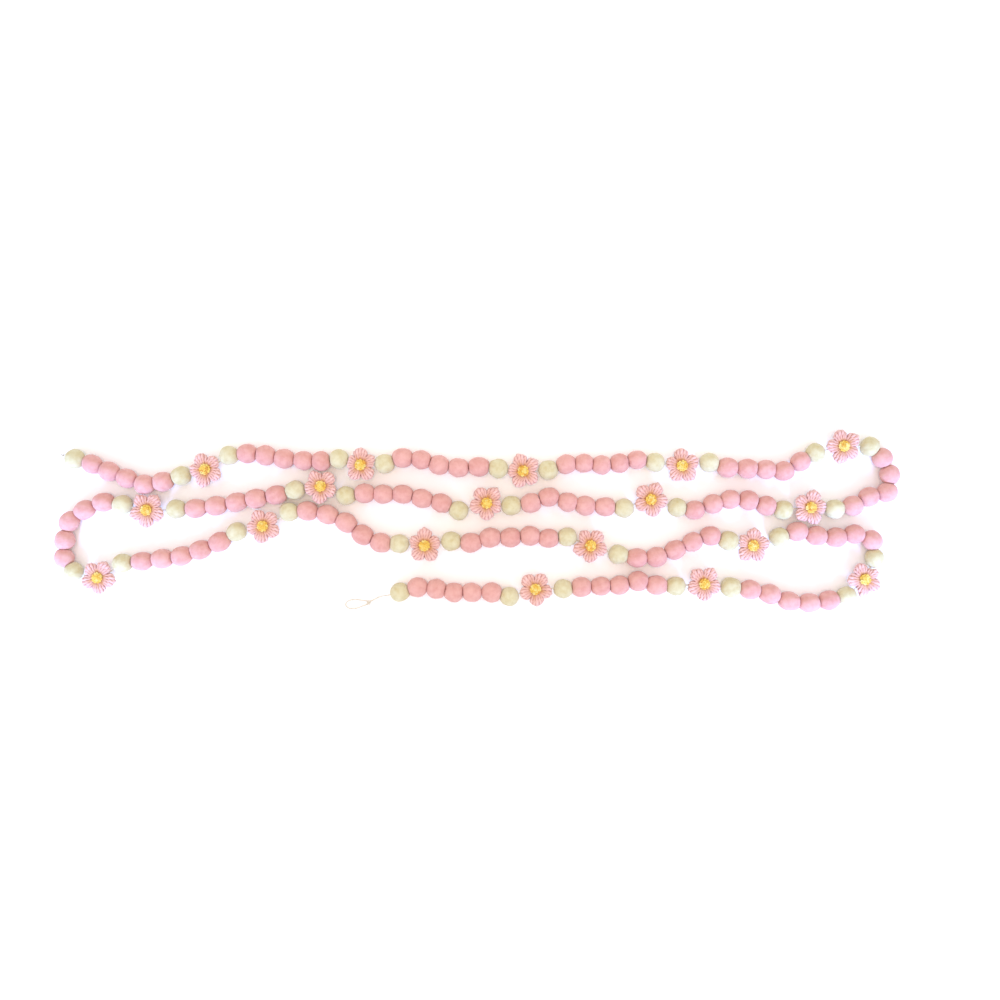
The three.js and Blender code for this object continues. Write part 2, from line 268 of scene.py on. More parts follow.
def spun_yarn(name, colours, speckle_mm, ply_mm, sheen, crease=None):
    """Soft spun yarn: tone runs along each strand, with flecks and streaks of fibre along its plies, and
    painted shade on the strands' sides where a crease colour is given.
    """
    material, tree, shader = new_material(name)
    place = add(tree, "ShaderNodeTexCoord").outputs["Object"]
    along = add(tree, "ShaderNodeAttribute", attribute_name="along")
    tone = add(tree, "ShaderNodeAttribute", attribute_name="tone")
    flecks = add(tree, "ShaderNodeTexNoise", {"Vector": place, "Scale": 1000 / speckle_mm, "Detail": 2.0})
    # fibres are drawn 0.3 mm apart round a ply, and eight times as long
    round_ply = add(tree, "ShaderNodeAttribute", attribute_name="section").outputs["Vector"]
    across = add(tree, "ShaderNodeVectorMath", {0: round_ply, "Scale": ply_mm}, operation="SCALE").outputs[0]
    gone = add(tree, "ShaderNodeAttribute", attribute_name="gone").outputs["Fac"]
    lengthwise = add(tree, "ShaderNodeMath", {0: gone, 1: 1000 / 8}, operation="MULTIPLY").outputs[0]
    shifted = add(tree, "ShaderNodeMath", {
        0: tone.outputs["Fac"], 1: 9.0, 2: lengthwise}, operation="MULTIPLY_ADD")
    down_ply = add(tree, "ShaderNodeCombineXYZ", {2: shifted.outputs[0]}).outputs[0]
    on_ply = add(tree, "ShaderNodeVectorMath", {0: across, 1: down_ply}, operation="ADD").outputs[0]
    streaks = add(tree, "ShaderNodeTexNoise", {"Vector": on_ply, "Scale": 1 / 0.3, "Detail": 2.0})
    shade = add(tree, "ShaderNodeMapRange", {
        "Value": streaks.outputs[0], "From Min": 0.3, "From Max": 0.7, "To Min": 0.84, "To Max": 1.14})
    varied = add(tree, "ShaderNodeMath", {
        0: tone.outputs["Fac"], 1: 0.09, 2: along.outputs["Fac"]}, operation="MULTIPLY_ADD")
    flecked = add(tree, "ShaderNodeMath", {
        0: flecks.outputs[0], 1: 0.25, 2: varied.outputs[0]}, operation="MULTIPLY_ADD")
    ramp = add(tree, "ShaderNodeValToRGB", {"Fac": flecked.outputs[0]})
    stops = ramp.color_ramp.elements
    while len(stops) < len(colours):
        stops.new(0.5)
    for stop, (position, code) in zip(stops, colours):
        stop.position = position
        stop.color = srgb(code)
    colour = ramp.outputs["Color"]
    if crease:
        # painted shade: the sides of a strand are darker, down in the creases between it and the next
        side = add(tree, "ShaderNodeAttribute", attribute_name="crease")
        crease_shade_share = add(tree, "ShaderNodeMapRange", {
            "Value": side.outputs["Fac"], "From Min": 0.42, "From Max": 0.66, "To Min": 0.0, "To Max": 0.4})
        colour = add(tree, "ShaderNodeMix", {
            "Factor": crease_shade_share.outputs[0], 6: colour, 7: srgb(crease)}, data_type="RGBA").outputs[2]
    streaked = add(tree, "ShaderNodeVectorMath", {0: colour, "Scale": shade.outputs[0]}, operation="SCALE")
    raised = add(tree, "ShaderNodeMath", {
        0: streaks.outputs[0], 1: 1.5, 2: flecks.outputs[0]}, operation="MULTIPLY_ADD")
    bump = add(tree, "ShaderNodeBump", {"Height": raised.outputs[0], "Strength": 0.5, "Distance": 0.0003})
    tree.links.new(streaked.outputs[0], shader.inputs["Base Color"])
    tree.links.new(bump.outputs["Normal"], shader.inputs["Normal"])
    shader.inputs["Roughness"].default_value = 0.9
    shader.inputs["Specular IOR Level"].default_value = 0.15
    shader.inputs["Sheen Weight"].default_value = sheen
    shader.inputs["Sheen Roughness"].default_value = 0.5
    return material


def painted_board(name, code):
    """Matt white painted board under the garland, faintly uneven."""
    material, tree, shader = new_material(name)
    place = add(tree, "ShaderNodeTexCoord").outputs["Object"]
    patches = add(tree, "ShaderNodeTexNoise", {"Vector": place, "Scale": 4.0, "Detail": 2.0})
    rough = add(tree, "ShaderNodeMapRange", {"Value": patches.outputs[0], "To Min": 0.75, "To Max": 0.9})
    tree.links.new(rough.outputs[0], shader.inputs["Roughness"])
    shader.inputs["Base Color"].default_value = srgb(code)
    shader.inputs["Specular IOR Level"].default_value = 0.1
    return material


def new_tree(name, inputs):
    """An empty geometry tree with a geometry input, the named inputs, and a geometry output."""
    tree = bpy.data.node_groups.new(name, "GeometryNodeTree")
    tree.interface.new_socket("Geometry", in_out="INPUT", socket_type="NodeSocketGeometry")
    for label, kind in inputs:
        tree.interface.new_socket(label, in_out="INPUT", socket_type=kind)
    tree.interface.new_socket("Geometry", in_out="OUTPUT", socket_type="NodeSocketGeometry")
    return tree, tree.nodes.new("NodeGroupInput").outputs


def felting_tree():
    """Felts a ball's skin: soft lumps, fine creases, a flat spot underneath and loose fibres."""
    tree, given = new_tree("felting", (
        ("Lump size", "NodeSocketFloat"),
        ("Lump height", "NodeSocketFloat"),
        ("Crease size", "NodeSocketFloat"),
        ("Crease depth", "NodeSocketFloat"),
        ("Fibre density", "NodeSocketFloat"),
        ("Fibre length", "NodeSocketFloat"),
        ("Fibre radius", "NodeSocketFloat"),
        ("Seed", "NodeSocketInt"),
        ("Felt", "NodeSocketMaterial"),
    ))
    position = add(tree, "GeometryNodeInputPosition").outputs[0]
    normal = add(tree, "GeometryNodeInputNormal").outputs[0]
    lump_scale = add(tree, "ShaderNodeMath", {0: 1.0, 1: given["Lump size"]}, operation="DIVIDE")
    lumps = add(tree, "ShaderNodeTexNoise", {
        "Vector": position, "Scale": lump_scale.outputs[0], "Detail": 1.0})
    lump = add(tree, "ShaderNodeMath", {0: lumps.outputs[0], 1: 0.5}, operation="SUBTRACT")
    raised = add(tree, "ShaderNodeMath", {0: lump.outputs[0], 1: given["Lump height"]}, operation="MULTIPLY")
    crease_scale = add(tree, "ShaderNodeMath", {0: 1.0, 1: given["Crease size"]}, operation="DIVIDE")
    creases = add(tree, "ShaderNodeTexNoise", {
        "Vector": position, "Scale": crease_scale.outputs[0], "Detail": 0.0})
    middle = add(tree, "ShaderNodeMath", {0: creases.outputs[0], 1: 0.5}, operation="SUBTRACT")
    away = add(tree, "ShaderNodeMath", {0: middle.outputs[0]}, operation="ABSOLUTE")
    line = add(tree, "ShaderNodeMapRange", {
        "Value": away.outputs[0], "From Min": 0.0, "From Max": 0.05, "To Min": 1.0, "To Max": 0.0},
        interpolation_type="SMOOTHSTEP")
    sunk = add(tree, "ShaderNodeMath", {0: line.outputs[0], 1: given["Crease depth"]}, operation="MULTIPLY")
    shift = add(tree, "ShaderNodeMath", {0: raised.outputs[0], 1: sunk.outputs[0]}, operation="SUBTRACT")
    outward = add(tree, "ShaderNodeVectorMath", {0: normal, "Scale": shift.outputs[0]}, operation="SCALE")
    lumpy = add(tree, "GeometryNodeSetPosition", {
        "Geometry": given["Geometry"], "Offset": outward.outputs[0]})
    # the underside lies flat on the surface
    parts = add(tree, "ShaderNodeSeparateXYZ", {0: position}).outputs
    height = add(tree, "ShaderNodeMath", {0: parts[2], 1: 0.0}, operation="MAXIMUM")
    resting = add(tree, "ShaderNodeCombineXYZ", {0: parts[0], 1: parts[1], 2: height.outputs[0]})
    skin = add(tree, "GeometryNodeSetPosition", {
        "Geometry": lumpy.outputs[0], "Position": resting.outputs[0]})
    smooth = add(tree, "GeometryNodeSetShadeSmooth", {"Geometry": skin.outputs[0]})
    # loose fibres stand off the skin above the underside
    above = add(tree, "FunctionNodeCompare", {
        0: parts[2], 1: 0.004}, data_type="FLOAT", operation="GREATER_THAN")
    roots = add(tree, "GeometryNodeDistributePointsOnFaces", {
        "Mesh": smooth.outputs[0],
        "Selection": above.outputs[0],
        "Density": given["Fibre density"],
        "Seed": given["Seed"],
    })
    hair = add(tree, "GeometryNodeCurveQuadraticBezier", {
        "Resolution": 2, "Start": (0.0, 0.0, -0.1), "Middle": (0.35, 0.0, 0.5), "End": (1.0, 0.1, 0.45)})
    thickness = add(tree, "ShaderNodeMath", {
        0: given["Fibre radius"], 1: given["Fibre length"]}, operation="DIVIDE")
    section = add(tree, "GeometryNodeCurvePrimitiveCircle", {
        "Resolution": 3, "Radius": thickness.outputs[0]})
    fibre = add(tree, "GeometryNodeCurveToMesh", {
        "Curve": hair.outputs[0], "Profile Curve": section.outputs[0], "Fill Caps": True})
    spin = add(tree, "FunctionNodeRandomValue", {
        "Min": (-0.5, -0.5, 0.0), "Max": (0.5, 0.5, 2 * math.pi), "Seed": given["Seed"]},
        data_type="FLOAT_VECTOR")
    turn = add(tree, "FunctionNodeEulerToRotation", {0: spin.outputs[0]})
    lie = add(tree, "FunctionNodeRotateRotation", {
        0: roots.outputs["Rotation"], 1: turn.outputs[0]}, rotation_space="LOCAL")
    share = add(tree, "FunctionNodeRandomValue", {2: 0.5, 3: 1.2, "Seed": given["Seed"]}, data_type="FLOAT")
    size = add(tree, "ShaderNodeMath", {0: share.outputs[1], 1: given["Fibre length"]}, operation="MULTIPLY")
    fuzz = add(tree, "GeometryNodeInstanceOnPoints", {
        "Points": roots.outputs["Points"],
        "Instance": fibre.outputs[0],
        "Rotation": lie.outputs[0],
        "Scale": size.outputs[0],
    })
    joined = add(tree, "GeometryNodeJoinGeometry")
    tree.links.new(smooth.outputs[0], joined.inputs[0])
    tree.links.new(fuzz.outputs[0], joined.inputs[0])
    real = add(tree, "GeometryNodeRealizeInstances", {"Geometry": joined.outputs[0]})
    finished = add(tree, "GeometryNodeSetMaterial", {"Geometry": real.outputs[0], "Material": given["Felt"]})
    add(tree, "NodeGroupOutput", {"Geometry": finished.outputs[0]})
    return tree


def yarn_tree():
    """Twists two plies round each centre line and sweeps them into yarn."""
    tree, given = new_tree("plied_yarn", (
        ("Step", "NodeSocketFloat"),
        ("Ply radius", "NodeSocketFloat"),
        ("Ply offset", "NodeSocketFloat"),
        ("Lay length", "NodeSocketFloat"),
        ("Sides", "NodeSocketInt"),
        ("Flatness", "NodeSocketFloat"),
        ("Yarn", "NodeSocketMaterial"),
    ))
    lines = add(tree, "GeometryNodeMeshToCurve", {"Mesh": given["Geometry"]})
    even = add(tree, "GeometryNodeResampleCurve", {
        "Curve": lines.outputs[0], "Length": given["Step"]}, mode="LENGTH")
    girth, level, azimuth = [
        add(tree, "GeometryNodeInputNamedAttribute", {"Name": label}, data_type="FLOAT").outputs["Attribute"]
        for label in ("girth", "level", "azimuth")
    ]
    position = add(tree, "GeometryNodeInputPosition").outputs[0]
    parts = add(tree, "ShaderNodeSeparateXYZ", {0: position}).outputs
    levelled = add(tree, "GeometryNodeStoreNamedAttribute", {
        "Geometry": even.outputs[0], "Name": "level", "Value": parts[2]}, data_type="FLOAT", domain="POINT")
    gone = add(tree, "GeometryNodeSplineParameter").outputs["Length"]
    measured = add(tree, "GeometryNodeStoreNamedAttribute", {
        "Geometry": levelled.outputs[0], "Name": "gone", "Value": gone}, data_type="FLOAT", domain="POINT")
    turns = add(tree, "ShaderNodeMath", {0: gone, 1: given["Lay length"]}, operation="DIVIDE")
    normal = add(tree, "GeometryNodeInputNormal").outputs[0]
    tangent = add(tree, "GeometryNodeInputTangent").outputs[0]
    side = add(tree, "ShaderNodeVectorMath", {0: tangent, 1: normal}, operation="CROSS_PRODUCT").outputs[0]
    reach = add(tree, "ShaderNodeMath", {0: girth, 1: given["Ply offset"]}, operation="MULTIPLY").outputs[0]
    circle = add(tree, "GeometryNodeCurvePrimitiveCircle", {
        "Resolution": given["Sides"], "Radius": given["Ply radius"]})
    facing = add(tree, "ShaderNodeVectorMath", {0: position}, operation="NORMALIZE").outputs[0]
    section = add(tree, "GeometryNodeStoreNamedAttribute", {
        "Geometry": circle.outputs[0], "Name": "section", "Value": facing},
        data_type="FLOAT_VECTOR", domain="POINT")
    joined = add(tree, "GeometryNodeJoinGeometry")
    for start in (0.0, math.pi):
        angle = add(tree, "ShaderNodeMath", {
            0: turns.outputs[0], 1: 2 * math.pi, 2: start}, operation="MULTIPLY_ADD").outputs[0]
        across = add(tree, "ShaderNodeMath", {0: angle}, operation="COSINE").outputs[0]
        upward = add(tree, "ShaderNodeMath", {0: angle}, operation="SINE").outputs[0]
        one = add(tree, "ShaderNodeVectorMath", {0: normal, "Scale": across}, operation="SCALE").outputs[0]
        other = add(tree, "ShaderNodeVectorMath", {0: side, "Scale": upward}, operation="SCALE").outputs[0]
        both = add(tree, "ShaderNodeVectorMath", {0: one, 1: other}, operation="ADD").outputs[0]
        offset = add(tree, "ShaderNodeVectorMath", {0: both, "Scale": reach}, operation="SCALE").outputs[0]
        ply = add(tree, "GeometryNodeSetPosition", {"Geometry": measured.outputs[0], "Offset": offset})
        swept = add(tree, "GeometryNodeCurveToMesh", {
            "Curve": ply.outputs[0], "Profile Curve": section.outputs[0], "Scale": girth, "Fill Caps": True})
        tree.links.new(swept.outputs[0], joined.inputs[0])
    # the yarn is pressed flat about the height of its centre line
    rise = add(tree, "ShaderNodeMath", {0: parts[2], 1: level}, operation="SUBTRACT").outputs[0]
    height = add(tree, "ShaderNodeMath", {
        0: rise, 1: given["Flatness"], 2: level}, operation="MULTIPLY_ADD").outputs[0]
    lower = add(tree, "ShaderNodeCombineXYZ", {0: parts[0], 1: parts[1], 2: height}).outputs[0]
    pressed = add(tree, "GeometryNodeSetPosition", {"Geometry": joined.outputs[0], "Position": lower})
    smooth = add(tree, "GeometryNodeSetShadeSmooth", {"Geometry": pressed.outputs[0]})
    # how far the skin is turned to a strand's side, toward the next strand; the material paints shade in the
    # creases from it
    sine = add(tree, "ShaderNodeMath", {0: azimuth}, operation="SINE").outputs[0]
    cosine = add(tree, "ShaderNodeMath", {0: azimuth}, operation="COSINE").outputs[0]
    back = add(tree, "ShaderNodeMath", {0: sine, 1: -1.0}, operation="MULTIPLY").outputs[0]
    aside = add(tree, "ShaderNodeCombineXYZ", {0: back, 1: cosine}).outputs[0]
    turned_aside = add(tree, "ShaderNodeVectorMath", {
        0: normal, 1: aside}, operation="DOT_PRODUCT").outputs["Value"]
    crease = add(tree, "ShaderNodeMath", {0: turned_aside}, operation="ABSOLUTE").outputs[0]
    marked = add(tree, "GeometryNodeStoreNamedAttribute", {
        "Geometry": smooth.outputs[0], "Name": "crease", "Value": crease}, data_type="FLOAT", domain="POINT")
    real = add(tree, "GeometryNodeRealizeInstances", {"Geometry": marked.outputs[0]})
    finished = add(tree, "GeometryNodeSetMaterial", {"Geometry": real.outputs[0], "Material": given["Yarn"]})
    add(tree, "NodeGroupOutput", {"Geometry": finished.outputs[0]})
    return tree


def new_object(name, points, faces=(), edges=(), **attributes):
    """An object of plain points, edges and faces, with a number at each point for each attribute."""
    mesh = bpy.data.meshes.new(name)
    mesh.from_pydata(points, edges, faces)
    for label, values in attributes.items():
        mesh.attributes.new(label, "FLOAT", "POINT").data.foreach_set("value", np.asarray(values, np.float32))
    piece = bpy.data.objects.new(name, mesh)
    bpy.context.scene.collection.objects.link(piece)
    return piece


def worked(piece, tree, material, values):
    """Runs a geometry tree on a piece and leaves the result as its plain mesh."""
    modifier = piece.modifiers.new(tree.name, "NODES")
    modifier.node_group = tree
    for item in tree.interface.items_tree:
        if item.in_out == "INPUT" and item.name in values:
            modifier[item.identifier] = values[item.name]
    evaluated = piece.evaluated_get(bpy.context.evaluated_depsgraph_get())
    mesh = bpy.data.meshes.new_from_object(evaluated)
    piece.modifiers.remove(modifier)
    rough = piece.data
    piece.data = mesh
    bpy.data.meshes.remove(rough)
    mesh.name = piece.name
    mesh.materials.clear()
    mesh.materials.append(material)
    return piece


def smooth_line(stops, step):
    """Points about step apart on a smooth curve through the stops."""
    stops = np.asarray(stops, float)
    padded = np.vstack([2 * stops[0] - stops[1], stops, 2 * stops[-1] - stops[-2]])
    line = []
    for before, start, end, after in zip(padded, padded[1:], padded[2:], padded[3:]):
        first, here, last = [
            max(np.linalg.norm(b - a) ** 0.5, 1e-6) for a, b in ((before, start), (start, end), (end, after))]
        leave = ((start - before) / first - (end - before) / (first + here) + (end - start) / here) * here
        arrive = ((end - start) / here - (after - start) / (here + last) + (after - end) / last) * here
        count = max(2, math.ceil(np.linalg.norm(end - start) / step))
        for t in np.linspace(0, 1, count, endpoint=False):
            line.append((2 * t**3 - 3 * t**2 + 1) * start + (t**3 - 2 * t**2 + t) * leave
                        + (3 * t**2 - 2 * t**3) * end + (t**3 - t**2) * arrive)
    line.append(stops[-1])
    return np.array(line)


def yarn_piece(name, lines, tree, material, values, closed=False):
    """Yarn along several centre lines. A line is its points and the girth, place along and tone at each."""
    points, edges, girth, along, tone, azimuth = [], [], [], [], [], []
    for line in lines:
        first = len(points)
        count = len(line["points"])
        points.extend(map(tuple, line["points"]))
        edges.extend((first + i, first + i + 1) for i in range(count - 1))
        if closed:
            edges.append((first + count - 1, first))
        girth.extend(np.broadcast_to(line["girth"], count))
        along.extend(np.broadcast_to(line["along"], count))
        tone.extend(np.broadcast_to(line["tone"], count))
        azimuth.extend(np.broadcast_to(line.get("azimuth", 0.0), count))
    piece = new_object(name, points, edges=edges, girth=girth, along=along, tone=tone, azimuth=azimuth)
    return worked(piece, tree, material, {**values, "Yarn": material})


# Where the balls and flowers lie
def node_points(name):
    """The points of a node's mesh, each of them once."""
    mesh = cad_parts[name].data
    flat = np.empty(len(mesh.vertices) * 3)
    mesh.vertices.foreach_get("co", flat)
    return np.unique(flat.reshape(-1, 3).round(6), axis=0)


def standing_balls(name):
    """Middle and radius of each ball of a node, from the flat spots it stands on."""
    points = node_points(name)
    low = points[points[:, 2] < FOOT_HEIGHT]
    found = []
    while len(low):
        foot = np.linalg.norm(low - low[0], axis=1) < FOOT_SPREAD
        spot = low[foot].mean(0)
        over = np.linalg.norm(points[:, :2] - spot[:2], axis=1) < CROWN_SPREAD
        radius = points[over, 2].max() / 2
        found.append({"node": name, "middle": np.array([spot[0], spot[1], radius]), "radius": radius})
        low = low[~foot]
    return found


def strung_balls():
    """All the balls in their order along the string."""
    order = ["cream_start"]
    for run in range(1, RUNS + 1):
        order.append(f"pink_run_{run:02d}")
        order.append(f"cream_pair_{run:02d}" if run < RUNS else "cream_end")
    balls = []
    for name in order:
        left = standing_balls(name)
        while left:
            last = balls[-1]["middle"] if balls else left[0]["middle"]
            nearest = min(left, key=lambda ball: np.linalg.norm(ball["middle"] - last))
            left = [ball for ball in left if ball is not nearest]
            balls.append(nearest)
    return balls


def laid_flower(name):
    """Middle, height of the back, turn and rim of a flower node."""
    points = node_points(name)
    top = points[points[:, 2].argmax()]
    out = points[:, :2] - top[:2]
    reach = np.hypot(*out.T)
    angle = np.arctan2(out[:, 1], out[:, 0])
    # the points that reach farthest tell where the petals point
    turn = np.angle((reach**12 * np.exp(1j * PETALS * angle)).sum()) / PETALS
    # of the points in nearly the same direction, the farthest is on the rim
    apart = np.abs(np.angle(np.exp(1j * (angle[:, None] - angle))))
    farthest = np.where(apart < SAME_DIRECTION, reach, 0.0).max(axis=1)
    rim = np.column_stack([angle, reach])[(reach == farthest) & (reach > EYE_REACH)]
    return {"middle": top[:2], "back": points[:, 2].min(), "turn": turn, "rim": rim}


def rim_reach(flower, angle):
    """How far a flower's rim is from its middle in one direction."""
    return np.interp(angle, *flower["rim"].T, period=2 * math.pi)


# Felt balls
def cube_skin(facets):
    """Unit directions and faces of a cube's skin, blown up to a ball."""
    steps = np.tan(np.linspace(-math.pi / 4, math.pi / 4, facets + 1))
    index, points, faces = {}, [], []

    def corner(point):
        key = tuple(np.round(point, 6))
        if key not in index:
            index[key] = len(points)
            points.append(np.array(point) / np.linalg.norm(point))
        return index[key]

    for axis in range(3):
        for sign in (-1, 1):
            for i in range(facets):
                for j in range(facets):
                    loop = []
                    for u, v in ((i, j), (i + 1, j), (i + 1, j + 1), (i, j + 1)):
                        point = [0.0, 0.0, 0.0]
                        point[axis] = sign
                        point[(axis + 1) % 3] = steps[u]
                        point[(axis + 2) % 3] = steps[v]
                        loop.append(corner(point))
                    faces.append(loop if sign > 0 else loop[::-1])
    return np.array(points), faces


def pressed_ball(ball, neighbours, directions):
    """A ball's skin: longer where it is pressed, round where it is free, with a flat face at each contact."""
    ends = [other["middle"] - ball["middle"] for other in neighbours]
    ends = [np.array([end[0], end[1], 0.0]) for end in ends]
    gaps = [np.linalg.norm(end) / 2 for end in ends]
    ends = [end / np.linalg.norm(end) for end in ends]
    axis = ends[-1] - ends[0] if len(ends) == 2 else ends[0]
    axis = axis / np.linalg.norm(axis)
    lengthwise = directions @ axis
    girthwise = np.sqrt(np.clip(1 - lengthwise**2, 0, 1))
    pressed = np.ones(len(directions), bool) if len(ends) == 2 else lengthwise > 0
    half = np.where(pressed, PRESSED_BULGE * np.mean(gaps), FREE_LENGTH * ball["radius"])
    barrel = ((lengthwise / half) ** 2 + (girthwise / ball["radius"]) ** 2) ** -0.5
    reach = barrel ** -EDGE_CRISPNESS
    for end, gap in zip(ends, gaps):
        toward = np.clip(directions @ end, 1e-6, None)
        reach += (gap / toward) ** -EDGE_CRISPNESS
    return directions * (reach ** (-1 / EDGE_CRISPNESS))[:, None] + ball["middle"] - [0, 0, FOOT_SINK]


def turned(directions):
    """The directions turned any way, so that no two balls have their facets alike."""
    q, _ = np.linalg.qr(RNG.normal(size=(3, 3)))
    return directions @ (q * np.sign(np.linalg.det(q))).T


def felt_piece(name, group, balls, skin, tree, material, seed):
    """The felted balls of one node."""
    directions, faces = skin
    points, loops, tone = [], [], []
    for index in group:
        run = index // BALLS_PER_RUN
        beside = [i for i in (index - 1, index + 1) if 0 <= i < len(balls) and i // BALLS_PER_RUN == run]
        first = len(points)
        points.extend(map(tuple, pressed_ball(balls[index], [balls[i] for i in beside], turned(directions))))
        loops.extend([first + corner for corner in loop] for loop in faces)
        tone.extend([RNG.uniform(-1, 1)] * len(directions))
    piece = new_object(name, points, faces=loops, tone=tone)
    return worked(piece, tree, material, {**FELTING, "Seed": seed, "Felt": material})


# Yarn flowers
def strand_angle(share):
    """Angle between two strands of a petal, at a share of the way from the eye to the rim."""
    return STRAND_ANGLE_AT_EYE + (STRAND_ANGLE_AT_RIM - STRAND_ANGLE_AT_EYE) * share**2


def petal_strands(flower):
    """Strands that spread from the eye, loop over the rim and go back underneath, and one along the rim."""
    lines = []
    share, height = STRAND.T
    over = np.sin(np.linspace(0, math.pi, len(STRAND)))
    between = strand_angle(share)
    outermost = (STRANDS_PER_PETAL - 1) / 2
    for petal in range(PETALS):
        facing = flower["turn"] + 2 * math.pi * petal / PETALS + RNG.uniform(-PETAL_SWING, PETAL_SWING)
        cut_short = flower["rim"][:, 1].max() / rim_reach(flower, facing) - 1
        length = RNG.uniform(PETAL_SHORTEST, 1.0) * (1 + PETAL_PRESS * cut_short)
        for strand in range(STRANDS_PER_PETAL):
            off = strand - outermost
            angle = facing + between * (off + RNG.uniform(-STRAND_SWAY, STRAND_SWAY))
            rim = rim_reach(flower, angle[-3]) * length * (1 - PETAL_POINT * abs(off) / outermost) - RIM_INSET
            forth = EYE_EDGE + (rim + RNG.uniform(-STRAND_JITTER, STRAND_JITTER) - EYE_EDGE) * share
            lift = (RNG.uniform(-STRAND_JITTER, STRAND_JITTER) - PETAL_DOME * (off / outermost)**2) * over
            line = smooth_line(np.column_stack([
                flower["middle"][0] + forth * np.cos(angle),
                flower["middle"][1] + forth * np.sin(angle),
                flower["back"] + height + lift,
            ]), YARN_STEP)
            out = np.linalg.norm(line[:, :2] - flower["middle"], axis=1)
            spread = strand_angle((out - EYE_EDGE) / (rim - EYE_EDGE))
            lines.append({
                "points": line,
                "girth": STRAND_FULLNESS * spread * out / YARN_RADIUS,
                # from the eye out, so a strand's start takes the orange-brown painted shade under the eye
                "along": np.linspace(0, 1, len(line)),
                "tone": RNG.uniform(-1, 1),
                "azimuth": facing + STRAND_ANGLE_AT_RIM * off,
            })
        angle = facing + np.radians(RIM_STRAND[:, 0])
        out = (rim_reach(flower, angle) * length - YARN_RADIUS * RIM_GIRTH) * RIM_STRAND[:, 1]
        edge = smooth_line(np.column_stack([
            flower["middle"][0] + out * np.cos(angle),
            flower["middle"][1] + out * np.sin(angle),
            flower["back"] + RIM_STRAND[:, 2],
        ]), YARN_STEP)
        lines.append({
            "points": edge,
            "girth": RIM_GIRTH,
            "along": RIM_ALONG,
            "tone": RNG.uniform(-1, 1),
            "azimuth": np.arctan2(edge[:, 1] - flower["middle"][1], edge[:, 0] - flower["middle"][0]),
        })
    return lines


def eye_knots(flower):
    """Small coiled knots of yellow yarn, close together on a flat coil over the middle of a flower; the coil
    is coloured darker orange as painted shade between the knots.
    """
    coil = np.linspace(0, EYE_COIL_SWEEP, EYE_COIL_POINTS)
    out = np.linspace(EYE_COIL_START, EYE_RINGS[-1][1], len(coil))
    lines = [{
        "points": np.column_stack([
            flower["middle"][0] + out * np.cos(coil),
            flower["middle"][1] + out * np.sin(coil),
            np.full(len(coil), flower["back"] + EYE_COIL_HEIGHT),
        ]),
        "girth": 1.0,
        "along": EYE_COIL_SHADE_ALONG,
        "tone": 0.0,
    }]
    for count, radius, height in EYE_RINGS:
        for knot in range(count):
            place = knot + RNG.uniform(-EYE_KNOT_SWING, EYE_KNOT_SWING)
            angle = flower["turn"] + 2 * math.pi * place / count
            start = RNG.uniform(0, 2 * math.pi)
            coil = start + np.linspace(0, EYE_KNOT_SWEEP, EYE_KNOT_POINTS)
            width = RNG.uniform(*EYE_KNOT_WIDTH)
            rise = np.linspace(-EYE_KNOT_RISE, EYE_KNOT_RISE, EYE_KNOT_POINTS)
            rise = rise + RNG.uniform(-EYE_KNOT_JITTER, EYE_KNOT_JITTER)
            points = np.column_stack([
                flower["middle"][0] + radius * math.cos(angle) + width * np.cos(coil),
                flower["middle"][1] + radius * math.sin(angle) + width * np.sin(coil),
                flower["back"] + height + rise,
            ])
            lines.append({
                "points": points,
                "girth": 1.0,
                "along": RNG.uniform(*EYE_KNOT_ALONG),
                "tone": RNG.uniform(-1, 1),
            })
    return lines


def tied_knot(middle, facing):
    """An overhand knot pulled tight."""
    t = np.linspace(0, 2 * math.pi, TIED_POINTS, endpoint=False)
    x = TIED_SIZE * (np.sin(t) + 2 * np.sin(2 * t)) / 3
    y = TIED_SIZE * (np.cos(t) - 2 * np.cos(2 * t)) / 3
    z = -TIED_DEPTH * TIED_SIZE * np.sin(3 * t)
    points = np.column_stack([
        middle[0] + x * math.cos(facing) - y * math.sin(facing),
        middle[1] + x * math.sin(facing) + y * math.cos(facing),
        middle[2] + z,
    ])
    return {"points": points, "girth": TIED_GIRTH, "along": STRING_ALONG, "tone": 0.0}


# Finishes
pink_felt = felted_wool("felted_wool_pink", "#e1aea4", "#d3978d")
cream_felt = felted_wool("felted_wool_cream", "#dad3af", "#cbbd8d")
petal_yarn = spun_yarn(
    # the orange-brown first stops, taken at the eye end of each strand, are painted shade under the eye
    "spun_yarn_petal", ((0.20, "#cc8f5c"), (0.30, "#d3a080"), (0.42, "#daa998"), (0.72, "#e6beb5")),
    # the crease colour is painted shade between the strands
    speckle_mm=0.8, ply_mm=1.2, sheen=0.15, crease="#b4696a")
eye_yarn = spun_yarn(
    "spun_yarn_yellow", ((0.15, "#dc9d49"), (0.35, "#ebc358"), (0.60, "#eed06a"), (0.85, "#efdd92")),
    speckle_mm=1.5, ply_mm=0.6, sheen=0.1)
cotton = spun_yarn(
    "twisted_cotton", ((0.20, "#c9bda6"), (0.50, "#ddd3bf"), (0.80, "#ebe4d5")),
    speckle_mm=0.9, ply_mm=0.5, sheen=0.1)
board = painted_board("white_painted_board", "#fefefe")

felting = felting_tree()
plied_yarn = yarn_tree()

# The camera looks straight down
camera_data = bpy.data.cameras.new("camera")
camera_data.lens = LENS_MM
camera_data.sensor_width = SENSOR_MM
camera = bpy.data.objects.new("camera", camera_data)
bpy.context.scene.collection.objects.link(camera)
camera.location = VIEW_CENTRE[0], VIEW_CENTRE[1], VIEW_CENTRE[2] + VIEW_WIDTH * LENS_MM / SENSOR_MM
bpy.context.scene.camera = camera

balls = strung_balls()
flowers = [laid_flower(f"flower_{number:02d}") for number in range(1, FLOWERS + 1)]

